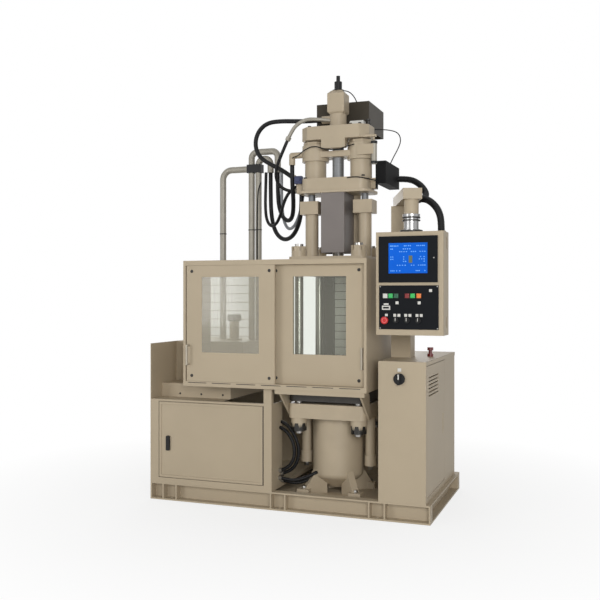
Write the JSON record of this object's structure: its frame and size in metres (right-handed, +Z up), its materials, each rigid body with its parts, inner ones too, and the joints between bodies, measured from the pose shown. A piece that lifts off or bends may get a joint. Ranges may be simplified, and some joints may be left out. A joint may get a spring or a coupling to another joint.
{
  "type": "injection moulding machine",
  "caption": "Upright injection press on a welded base, with sliding guard doors, a vertical injection unit, side cabinets and a swivelling operator panel.",
  "frame": {"origin": "centre of the base frame on the floor", "axes": "+Z up, +X to the right seen from the front, front at -Y"},
  "size_m": [1.725, 0.952, 2.451],
  "materials": {
    "beige_paint": "satin enamel",
    "motor_paint": "satin enamel",
    "bare_steel": "machined",
    "chrome_rod": "ground and plated",
    "cover_grey": "satin enamel",
    "dark_sheet": "dark brushed sheet",
    "black_plastic": "moulded",
    "handle_steel": "satin enamel",
    "clear_pane": "clear",
    "hose_rubber": "matt",
    "stop_red": "moulded",
    "lamp_white": "moulded",
    "lamp_green": "moulded",
    "lamp_dark_green": "moulded",
    "lamp_red": "moulded",
    "lamp_start": "moulded",
    "lamp_orange": "moulded"
  },
  "bodies": {
    "frame": {"base_frame": "beige_paint", "hydraulic_cabinet": "beige_paint", "tank_cover": "beige_paint", "pump_motor": "motor_paint", "main_cylinder": "beige_paint", "bed_platen": "beige_paint", "tie_bars": "bare_steel", "lift_jacks": "beige_paint", "upper_platen": "beige_paint", "upper_hot_plate": "bare_steel", "guard_frame": "beige_paint", "unit_cylinders": "beige_paint", "oil_pipes": "beige_paint", "control_cabinet": "beige_paint", "panel_arm": "beige_paint", "supply_hose": "hose_rubber", "return_hose": "hose_rubber", "conduit_upper": "hose_rubber", "conduit_lower": "hose_rubber"},
    "platen": {"clamp_ram": "chrome_rod", "moving_platen": "bare_steel", "lower_hot_plate": "bare_steel"},
    "front_door": {"left_door": "beige_paint", "left_window": "clear_pane", "left_handle": "handle_steel"},
    "rear_door": {"right_door": "beige_paint", "right_window": "clear_pane", "right_handle": "handle_steel"},
    "cabinet_door": {"cabinet_door": "beige_paint"},
    "cabinet_latch": {"cabinet_latch": "black_plastic"},
    "side_door": {"side_door": "beige_paint"},
    "main_switch": {"disconnect_switch": "black_plastic"},
    "unit": {"injection_base": "beige_paint", "injection_cylinders": "beige_paint", "cylinder_yoke": "beige_paint", "nozzle_barrel": "bare_steel", "barrel_cover": "cover_grey", "junction_box": "black_plastic", "stroke_sensor": "bare_steel", "unit_rods": "chrome_rod", "arc_hose": "hose_rubber"},
    "head": {"crosshead": "beige_paint", "piston_rods": "chrome_rod", "feed_motor": "beige_paint", "encoder": "black_plastic", "drive_guard": "dark_sheet"},
    "panel": {"panel_box": "beige_paint", "panel_swivel": "chrome_rod", "panel_terminal": "black_plastic", "button_plate": "black_plastic"},
    "button_white": {"button_white": "lamp_white"},
    "button_green": {"button_green": "lamp_green"},
    "button_dark_green": {"button_dark_green": "lamp_dark_green"},
    "button_red": {"button_red": "lamp_red"},
    "button_start": {"button_start": "lamp_start"},
    "button_orange": {"button_orange": "lamp_orange"},
    "stop_button": {"stop_button": "stop_red"},
    "selector_1": {"selector_1": "black_plastic"},
    "selector_2": {"selector_2": "black_plastic"},
    "selector_3": {"selector_3": "black_plastic"}
  },
  "joints": [
    {"name": "platen_lift", "type": "slide", "parent": "frame", "child": "platen", "axis": [0, 0, 1], "range_m": [0, 0.25]},
    {"name": "front_door_slide", "type": "slide", "parent": "frame", "child": "front_door", "axis": [1, 0, 0], "range_m": [0, 0.5]},
    {"name": "rear_door_slide", "type": "slide", "parent": "frame", "child": "rear_door", "axis": [-1, 0, 0], "range_m": [0, 0.5]},
    {"name": "cabinet_door_hinge", "type": "hinge", "parent": "frame", "child": "cabinet_door", "pos_m": [-0.117, -0.438, 0.3425], "axis": [0, 0, 1], "range_deg": [0, 110]},
    {"name": "cabinet_latch_turn", "type": "hinge", "parent": "cabinet_door", "child": "cabinet_latch", "pos_m": [-0.708, -0.444, 0.33156], "axis": [0, -1, 0], "range_deg": [0, 90]},
    {"name": "side_door_hinge", "type": "hinge", "parent": "frame", "child": "side_door", "pos_m": [0.796, -0.409, 0.471], "axis": [0, 0, -1], "range_deg": [0, 110]},
    {"name": "main_switch_turn", "type": "hinge", "parent": "frame", "child": "main_switch", "pos_m": [0.6623, -0.444, 0.751], "axis": [0, -1, 0], "range_deg": [0, 90]},
    {"name": "unit_lift", "type": "slide", "parent": "frame", "child": "unit", "axis": [0, 0, 1], "range_m": [0, 0.12], "deforming": ["supply_hose", "return_hose", "conduit_upper"]},
    {"name": "injection_stroke", "type": "slide", "parent": "unit", "child": "head", "axis": [0, 0, 1], "range_m": [0, 0.1], "deforming": ["arc_hose"]},
    {"name": "panel_turn", "type": "hinge", "parent": "frame", "child": "panel", "pos_m": [0.722, -0.428, 1.5177], "axis": [0, 0, 1], "range_deg": [-45, 45], "deforming": ["conduit_lower"]},
    {"name": "button_white_press", "type": "slide", "parent": "panel", "child": "button_white", "axis": [0, 1, 0], "range_m": [0, 0.003], "stiffness_N_per_m": 400},
    {"name": "button_green_press", "type": "slide", "parent": "panel", "child": "button_green", "axis": [0, 1, 0], "range_m": [0, 0.003], "stiffness_N_per_m": 400},
    {"name": "button_dark_green_press", "type": "slide", "parent": "panel", "child": "button_dark_green", "axis": [0, 1, 0], "range_m": [0, 0.003], "stiffness_N_per_m": 400},
    {"name": "button_red_press", "type": "slide", "parent": "panel", "child": "button_red", "axis": [0, 1, 0], "range_m": [0, 0.003], "stiffness_N_per_m": 400},
    {"name": "button_start_press", "type": "slide", "parent": "panel", "child": "button_start", "axis": [0, 1, 0], "range_m": [0, 0.003], "stiffness_N_per_m": 400},
    {"name": "button_orange_press", "type": "slide", "parent": "panel", "child": "button_orange", "axis": [0, 1, 0], "range_m": [0, 0.003], "stiffness_N_per_m": 400},
    {"name": "stop_button_press", "type": "slide", "parent": "panel", "child": "stop_button", "axis": [0, 1, 0], "range_m": [0, 0.004]},
    {"name": "selector_1_turn", "type": "hinge", "parent": "panel", "child": "selector_1", "pos_m": [0.65311, -0.48, 1.05867], "axis": [0, -1, 0], "range_deg": [-45, 45]},
    {"name": "selector_2_turn", "type": "hinge", "parent": "panel", "child": "selector_2", "pos_m": [0.71114, -0.48, 1.05867], "axis": [0, -1, 0], "range_deg": [-45, 45]},
    {"name": "selector_3_turn", "type": "hinge", "parent": "panel", "child": "selector_3", "pos_m": [0.77011, -0.48, 1.05867], "axis": [0, -1, 0], "range_deg": [-45, 45]}
  ]
}
